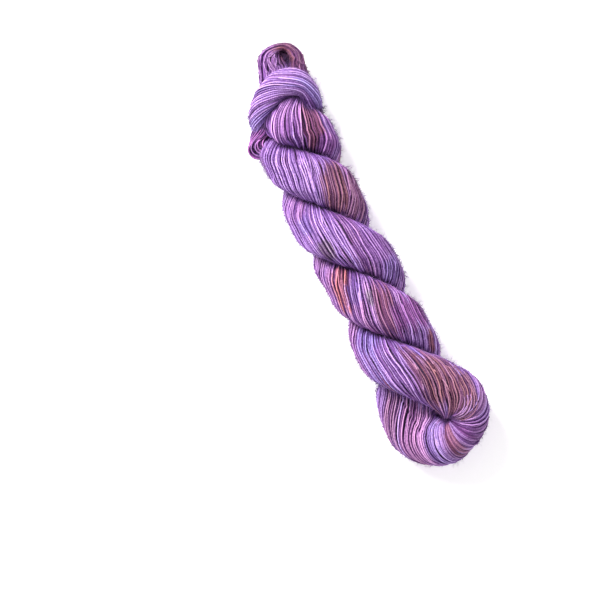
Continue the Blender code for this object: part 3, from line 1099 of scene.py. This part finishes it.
GATHERED_TURNS = (
    ((25.6, -19.1, 29), (29.3, -21.9, 33), (33, -25.6, 30), (33.9, -30.4, 25.6),
     (34.3, -36.4, 20.9), (36.3, -39, 15.5), (39.4, -39.6, 12.5), (43.4, -38, 12),
     (46, -34, 14), (49.5, -23, 12)),
    ((25.1, -21.7, 28), (29, -25.6, 30.2), (31.1, -29.4, 28), (32.3, -33, 24),
     (34.3, -36.4, 20.2), (37, -38.8, 14), (41, -38.6, 10), (45, -35, 10),
     (50, -23, 11)),
    ((24.8, -23.7, 27), (28.2, -27.2, 29), (30.1, -30.7, 27), (31.8, -34.1, 23),
     (34.3, -37.1, 19), (37, -38.6, 11), (42, -37, 8), (46, -32, 10),
     (50, -22, 12)),
    ((25.1, -26.1, 26), (27.8, -29.6, 27), (29.7, -32.3, 25), (31.8, -34.8, 21.8),
     (33.7, -36.8, 17.5), (37, -37.4, 8.5), (42, -35, 6.5), (46, -30, 8),
     (50, -21, 11)),
    ((25.4, -28.4, 25), (27.8, -31.8, 24), (30, -33.9, 21.5), (32.5, -35.6, 18.5),
     (35, -36.8, 13.5), (38, -36, 6), (42, -32, 5.5), (45, -27, 8),
     (50, -20, 11)),
)
SLACK_ROWS = 40
SLACK_THICKNESS = 1.05
SLACK_MIDDLE = place(37.0, -28.0, 12.0)  # the loops face away from here
TWIN_APART = np.array((0.75, 0.6, -0.3))  # between the two strands of a gathered turn


def through(points):
    """A smooth path of even steps through places of the hank."""
    places = np.array([place(*point) for point in points])
    knots = np.concatenate([[0.0], np.cumsum(np.linalg.norm(np.diff(places, axis=0), axis=1))])
    return cubic(knots, places, np.linspace(0.0, knots[-1], SLACK_ROWS))


def open_strands(paths, thickness, outward):
    """Strands near the surface that aren't laid on the rope."""
    shape = paths.shape[:2]
    return Strands(paths, np.zeros(shape) + thickness, outward, np.full(shape, NEAR_SURFACE))


def plain_dye_and_shade(strands, **given):
    """Dyes, light and painted crease shade: one number for all strands, or one for each."""
    facts = (*DYES, "light", "crease")
    return {fact: np.zeros(strands.sunk.shape) + given.get(fact, 0.0) for fact in facts}


slack_paths = [through(points) for points in SLACK_TURNS + GATHERED_TURNS]
slack_paths += [through(points) + TWIN_APART for points in GATHERED_TURNS]
slack_paths = np.stack(slack_paths, axis=1)
slack = open_strands(slack_paths, SLACK_THICKNESS, unit(slack_paths - SLACK_MIDDLE))
slack_count = slack_paths.shape[1]
slack_random = np.random.default_rng(51)
slack_dye = plain_dye_and_shade(
    slack,
    rose=slack_random.uniform(0.0, 0.6, slack_count),
    magenta=slack_random.uniform(0.2, 0.9, slack_count),
    light=slack_random.uniform(0.15, 0.75, slack_count),
)
add_strands("slack_turns", slack, slack_dye, SIX_SIDES)

lobe_light = slack_random.uniform(0.0, 0.4, LOBE_LAY.count)
# Painted shade: the lobe lies in the loops' shade, so all of it is darkened as if in a crease
lobe_dye_and_shade = plain_dye_and_shade(lobe, magenta=0.8, light=lobe_light, crease=0.7)
add_strands("lobe_turns", lobe, lobe_dye_and_shade, SIX_SIDES)

# %% [markdown]
# ## Turns that hook into the pinch
#
# On the last ply a few turns are too long for the fold. They come down its right side, turn back and run
# into the pinch. Each is a curve through places seen from above, as high as the strands that it lies on,
# and both its ends go down between them.

# %% Turns hooked into the pinch
HOOKED_TURNS = (
    ((222.8, 19.6), (235.4, 23.2), (246.6, 23.8), (253.7, 20.9),
     (257.5, 13.6), (256.8, 7.9), (254.1, 4.4)),
    ((236.4, 22.7), (245, 22.9), (250.6, 20.6), (254.6, 16.5),
     (255.8, 11), (255.3, 6.8), (253, 4)),
    ((241.9, 21.5), (247.3, 20.1), (251.8, 17), (254.5, 12.6),
     (254.8, 8.3), (253.8, 5.1), (252.4, 3.8)),
    ((241.9, 19.1), (247.3, 17.7), (251.1, 15), (253.2, 11.1),
     (253.4, 7.4), (252.8, 5), (251.7, 3.7)),
    ((241.8, 16.4), (246.8, 15.4), (250, 13.2), (251.8, 10.1),
     (252.3, 7), (252, 4.9), (251.1, 3.5)),
)
HOOK_LIFT = 0.35  # millimetres above the strands under it
HOOK_END = 2.6  # millimetres that its ends go down
HOOK_FADES = (0.15, 0.12)  # in these shares of its length
HOOK_REACH = 1.6  # millimetres beside it in which a strand carries it
HOOK_SMOOTH = 7  # places over which its height is evened out
HOOK_THICKNESS = 1.15
BROWN_HOOKS = 2  # so many of them are brown, the others pale


def laid_over(strands, places):
    """A path through places seen from above, over the strands that lie there."""
    path = through([(along, across, 0.0) for along, across in places])
    below = strands.paths.reshape(-1, 3)
    away = np.hypot(below[:, 0] - path[:, [0]], below[:, 1] - path[:, [1]])
    top = np.where(away < HOOK_REACH, below[:, 2], 0.0).max(axis=1)
    top = np.pad(top, HOOK_SMOOTH // 2, mode="edge")
    even = np.convolve(top, np.full(HOOK_SMOOTH, 1 / HOOK_SMOOTH), "valid")
    t = np.linspace(0.0, 1.0, SLACK_ROWS)
    down = 1 - ease(t, 0.0, HOOK_FADES[0]) * ease(1 - t, 0.0, HOOK_FADES[1])
    path[:, 2] = even + HOOK_LIFT - HOOK_END * down
    return path


hook_paths = np.stack([laid_over(outer, places) for places in HOOKED_TURNS], axis=1)
hooks = open_strands(hook_paths, HOOK_THICKNESS, np.zeros_like(hook_paths) + UP)
brown = np.arange(len(HOOKED_TURNS)) < BROWN_HOOKS
# The pinch's painted shade falls on the hooks too
hook_dye_and_shade = plain_dye_and_shade(
    hooks,
    brown=0.75 * brown,
    clay=0.5 * ~brown,
    light=slack_random.uniform(0.35, 0.8, len(HOOKED_TURNS)),
    crease=shaded_at(hooks, *PINCH_SHADE),
)
add_strands("hooked_turns", hooks, hook_dye_and_shade, SIX_SIDES)

# %% [markdown]
# ## Fuzz
#
# Short fibres stand out of the yarn. One by one they are too thin to see, but together they soften the
# outline. Each is a thin tube of three points, so thousands of them cost little.

# %% Thousands of short fibres
Hairs = collections.namedtuple("Hairs", "count lowest highest shortest longest thickness seed")
ALL_OVER = Hairs(8000, -0.3, 1.0, 1.0, 3.2, 0.15, 61)
AT_THE_SIDES = Hairs(2600, -0.2, 0.4, 2.0, 4.5, 0.2, 62)
ON_THE_EAR = Hairs(900, -0.3, 1.0, 1.0, 3.5, 0.18, 63)
HAIR_FROM = 1.0  # millimetres sunk, at most
HAIR_ALONG = 0.8  # how far a hair points along the strand,
HAIR_OUT = (0.15, 0.9)  # out of it
HAIR_ASIDE = 0.6  # and to its side
HAIR_CURL = 0.3
HAIR_ROOT = 0.35  # strand thicknesses from the strand's middle
HAIR_SHIFT = 1.0
HAIR_TAPER = ([1.0], [0.8], [0.4])
HAIR_LOWEST = 0.1  # millimetres above the table


def fuzz(strands, amounts, hairs):
    """Hairs on strands that face upwards between lowest and highest, and their dye and painted shade."""
    random = np.random.default_rng(hairs.seed)
    each = (hairs.count, 1)
    upward = strands.outward[..., 2]
    facing = (upward > hairs.lowest) & (upward < hairs.highest)
    rows, turns = np.nonzero((strands.sunk < HAIR_FROM) & facing)
    picked = random.integers(0, len(rows), hairs.count)
    rows, turns = rows[picked].clip(1, len(strands.at) - 2), turns[picked]
    outward = strands.outward[rows, turns]
    tangent = unit(strands.paths[rows + 1, turns] - strands.paths[rows - 1, turns])
    way = random.normal(0, HAIR_ALONG, each) * tangent
    way += random.uniform(*HAIR_OUT, each) * outward
    way = unit(way + random.normal(0, HAIR_ASIDE, each) * np.cross(outward, tangent))
    length = random.uniform(hairs.shortest, hairs.longest, each)
    root = strands.paths[rows, turns] + HAIR_ROOT * outward * strands.thickness[rows, turns][:, None]
    root += tangent * random.uniform(-HAIR_SHIFT, HAIR_SHIFT, each)
    bend = HAIR_CURL * random.normal(size=(hairs.count, 3))
    paths = np.stack([root, root + 0.5 * length * way, root + length * (way + bend)])
    paths[..., 2] = np.maximum(paths[..., 2], HAIR_LOWEST)
    thickness = np.repeat(HAIR_TAPER, hairs.count, axis=1) * hairs.thickness
    rows, turns = np.broadcast_to(rows, thickness.shape), np.broadcast_to(turns, thickness.shape)
    fibres = open_strands(paths, thickness, np.broadcast_to(outward, paths.shape))
    return fibres, borrow(amounts, rows, turns)


for name, under_it, dye, hairs in (
    ("fuzz", outer, outer_dye_and_shade, ALL_OVER),
    ("side_fuzz", outer, outer_dye_and_shade, AT_THE_SIDES),
    ("ear_fuzz", ear_outer, ear_dye_and_shade, ON_THE_EAR),
):
    fibres, fibre_dye_and_shade = fuzz(under_it, dye, hairs)
    add_strands(name, fibres, fibre_dye_and_shade, FOUR_SIDES)

# %% [markdown]
# ## The dark inside
#
# Two layers of strands can't close every gap, and behind a gap the eye meets deeper turns in shadow. A copy
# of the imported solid, drawn in by a few millimetres, lies there as a dark body.

# %% A smaller copy of the solid
CORE_DEPTH = 2.8  # millimetres from the surface
SHADOW_LOOK = {"Base Color": (0.05, 0.022, 0.07, 1.0), "Roughness": 0.95}

core_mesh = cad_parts["hank"].data.copy()
bm = bmesh.new()
bm.from_mesh(core_mesh)
bmesh.ops.remove_doubles(bm, verts=bm.verts, dist=0.00001)
bm.normal_update()
inwards = [(vert, vert.normal.copy()) for vert in bm.verts]
for vert, normal in inwards:
    vert.co -= normal * CORE_DEPTH * MM
bm.to_mesh(core_mesh)
bm.free()
core_mesh.materials.clear()
core_mesh.materials.append(plain_material("yarn_in_shadow", SHADOW_LOOK))
pieces.append(placed("yarn_inside", core_mesh))
print("corners of the dark inside:", len(core_mesh.vertices))

# %% [markdown]
# ## Hand over
#
# Every piece moves with the hank's one body and stands in for its solid.

# %% The pieces on the hank's body
for piece in pieces:
    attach(piece, "root")
    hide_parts("hank")
